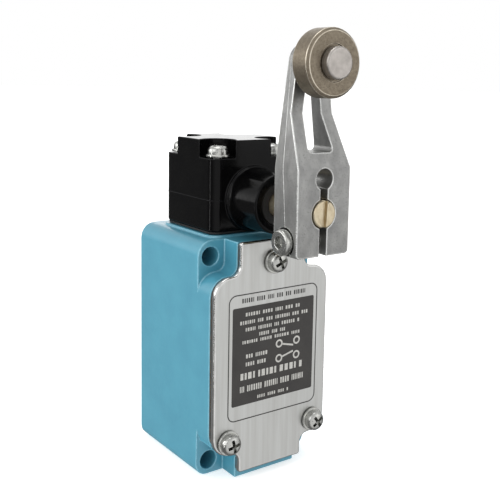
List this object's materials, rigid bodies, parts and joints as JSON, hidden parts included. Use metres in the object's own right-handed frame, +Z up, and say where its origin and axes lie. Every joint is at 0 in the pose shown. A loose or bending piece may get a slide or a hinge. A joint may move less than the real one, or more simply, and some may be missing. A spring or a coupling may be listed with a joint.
{
  "type": "roller lever limit switch",
  "caption": "Heavy-duty limit switch: blue die-cast body with steel cover, black side-rotary head, clamped lever with roller.",
  "frame": {"origin": "on the back mounting face, midway between the four mounting holes", "axes": "+Z up along the lever at rest, +Y out of the back into the wall, the cover faces -Y, +X to the right of someone facing the cover"},
  "size_m": [0.0386, 0.0671, 0.1241],
  "materials": {
    "blue_enamel": "semi-gloss enamel on a zinc die casting",
    "black_enamel": "gloss enamel on a zinc die casting",
    "satin_steel": "satin sheet with a polished edge",
    "zinc_plate": "bright zinc plate",
    "cast_aluminium": "tumbled casting",
    "sintered_steel": "oil-filled sintered steel",
    "pin_steel": "turned steel",
    "shaft_brass": "yellow passivated steel, turned",
    "bronze": "sintered bronze",
    "brass": "pressed and turned brass",
    "cork_rubber": "dark cork and rubber sheet",
    "black_rubber": "nitrile rubber",
    "white_nylon": "moulded nylon",
    "phenolic": "dark phenolic moulding",
    "spring_steel": "drawn wire and pressed steel",
    "green_plate": "green passivated steel"
  },
  "bodies": {
    "housing": {"switch_body": "blue_enamel", "cover_gasket": "cork_rubber", "cover_plate": "satin_steel", "cover_screw_top": "zinc_plate", "cover_screw_lower_left": "zinc_plate", "cover_screw_lower_right": "zinc_plate", "cover_washer_top": "zinc_plate", "cover_washer_lower_left": "zinc_plate", "cover_washer_lower_right": "zinc_plate", "head_housing": "black_enamel", "head_gasket": "black_rubber", "head_screw_1": "zinc_plate", "head_screw_2": "zinc_plate", "head_screw_3": "zinc_plate", "head_screw_4": "zinc_plate", "head_washer_1": "zinc_plate", "head_washer_2": "zinc_plate", "head_washer_3": "zinc_plate", "head_washer_4": "zinc_plate", "shaft_seal": "black_rubber", "shaft_bush": "bronze", "plunger_guide": "brass", "switch_case": "phenolic", "switch_case_cover": "phenolic", "terminal_1": "brass", "terminal_2": "brass", "terminal_3": "brass", "terminal_4": "brass", "terminal_screw_1": "brass", "terminal_screw_2": "brass", "terminal_screw_3": "brass", "terminal_screw_4": "brass", "block_screw_1": "zinc_plate", "block_screw_2": "zinc_plate", "ground_screw": "green_plate"},
    "lever": {"lever_arm": "cast_aluminium", "clamp_screw": "zinc_plate", "clamp_washer": "spring_steel", "rotary_shaft": "shaft_brass", "shaft_ring": "spring_steel", "shaft_cam": "spring_steel", "cam_pin": "pin_steel", "roller_pin": "pin_steel", "roller_washer": "pin_steel"},
    "roller": {"roller": "sintered_steel"},
    "plunger": {"plunger": "pin_steel", "return_spring": "spring_steel"},
    "button": {"switch_button": "white_nylon"},
    "contact_bridge": {"contact_bridge": "brass", "contact_spring": "spring_steel"}
  },
  "joints": [
    {"name": "lever_turn", "type": "hinge", "parent": "housing", "child": "lever", "pos_m": [0, -0.0179, 0.0441], "axis": [0, 1, 0], "range_deg": [-75, 75], "stiffness_Nm_per_rad": 0.3},
    {"name": "roller_spin", "type": "hinge", "parent": "lever", "child": "roller", "pos_m": [0, -0.0617, 0.0819], "axis": [0, 1, 0], "continuous": true},
    {"name": "plunger_slide", "type": "slide", "parent": "housing", "child": "plunger", "axis": [0, 0, -1], "range_m": [0, 0.0015], "stiffness_N_per_m": 1500, "springref_m": -0.002, "deforming": ["return_spring"]},
    {"name": "button_slide", "type": "slide", "parent": "housing", "child": "button", "axis": [0, 0, -1], "range_m": [0, 0.0015]},
    {"name": "contact_slide", "type": "slide", "parent": "housing", "child": "contact_bridge", "axis": [0, 0, -1], "range_m": [0, 0.0013], "stiffness_N_per_m": 300, "springref_m": -0.001, "deforming": ["contact_spring"]}
  ],
  "couplings": [
    {"joint": "button_slide", "follows": "plunger_slide", "ratio": 1},
    {"joint": "contact_slide", "follows": "plunger_slide", "ratio": 0.8666}
  ]
}
